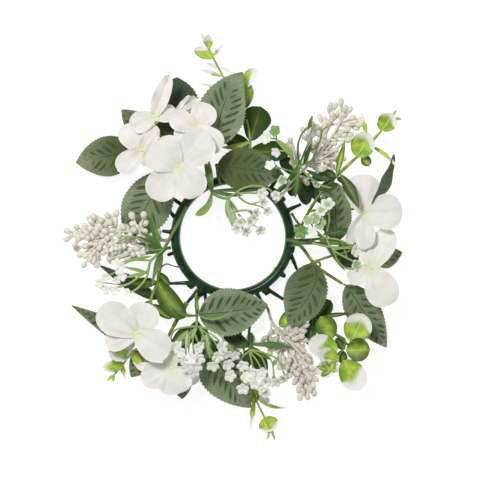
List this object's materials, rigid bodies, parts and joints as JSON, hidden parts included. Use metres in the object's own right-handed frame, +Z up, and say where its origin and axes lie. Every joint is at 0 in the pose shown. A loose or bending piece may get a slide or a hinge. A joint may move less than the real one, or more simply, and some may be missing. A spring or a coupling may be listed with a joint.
{
  "type": "candle ring",
  "caption": "Artificial flower candle ring: white hydrangea florets, toothed leaves, eucalyptus, berries and tiny white flowers on a round plastic ring.",
  "frame": {"origin": "middle of the ring's hole at the height of the surface it lies on, which is also the bottom centre of its bounding box", "axes": "+Z up out of the hole, +Y away from the viewer, +X to the viewer's right as the ring is seen from above"},
  "size_m": [0.2579, 0.3113, 0.0486],
  "materials": {
    "ring_plastic": "glossy dark green moulding",
    "stem_plastic": "satin olive green",
    "petal_fabric": "matt off-white cloth with a pale yellow-green flush at the eye",
    "leaf_fabric": "matt sage cloth with printed veins",
    "dark_leaf_fabric": "matt dark green cloth",
    "eucalyptus_plastic": "satin yellow-green with frosted pale tips",
    "dark_eucalyptus_plastic": "satin deep green",
    "berry_plastic": "satin cream with olive-grey stems",
    "spray_plastic": "satin green stems with white flowers"
  },
  "bodies": {
    "root": {"berry_spray_left": "berry_plastic", "berry_spray_lower_right": "berry_plastic", "berry_spray_upper_right": "berry_plastic", "eucalyptus_bottom": "eucalyptus_plastic", "eucalyptus_inner_left": "eucalyptus_plastic", "eucalyptus_inner_right": "dark_eucalyptus_plastic", "eucalyptus_lower_left": "eucalyptus_plastic", "eucalyptus_lower_right": "eucalyptus_plastic", "eucalyptus_top": "eucalyptus_plastic", "eucalyptus_upper_right": "eucalyptus_plastic", "floret_lower_left_1": "petal_fabric", "floret_lower_left_2": "petal_fabric", "floret_right_1": "petal_fabric", "floret_right_2": "petal_fabric", "floret_upper_left_1": "petal_fabric", "floret_upper_left_2": "petal_fabric", "floret_upper_left_3": "petal_fabric", "floret_upper_left_4": "petal_fabric", "floret_upper_left_5": "petal_fabric", "gypsophila_bottom_left": "spray_plastic", "gypsophila_bottom_right": "spray_plastic", "gypsophila_left": "spray_plastic", "gypsophila_over_hole": "spray_plastic", "gypsophila_right": "spray_plastic", "gypsophila_upper_right": "spray_plastic", "hydrangea_stem_lower_left": "stem_plastic", "hydrangea_stem_right": "stem_plastic", "hydrangea_stem_upper_left": "stem_plastic", "leaf_bottom": "leaf_fabric", "leaf_bottom_dark": "dark_leaf_fabric", "leaf_bottom_left_tip": "leaf_fabric", "leaf_inner_bottom": "leaf_fabric", "leaf_inner_right": "leaf_fabric", "leaf_inner_top": "leaf_fabric", "leaf_left": "leaf_fabric", "leaf_left_corner": "leaf_fabric", "leaf_left_dark": "dark_leaf_fabric", "leaf_left_upper": "leaf_fabric", "leaf_lower_left_corner": "leaf_fabric", "leaf_lower_left_tip": "leaf_fabric", "leaf_lower_right": "leaf_fabric", "leaf_right": "leaf_fabric", "leaf_right_dark": "dark_leaf_fabric", "leaf_right_edge": "dark_leaf_fabric", "leaf_right_tip": "leaf_fabric", "leaf_top": "leaf_fabric", "leaf_top_dark": "dark_leaf_fabric", "ring_base": "ring_plastic"}
  },
  "joints": []
}
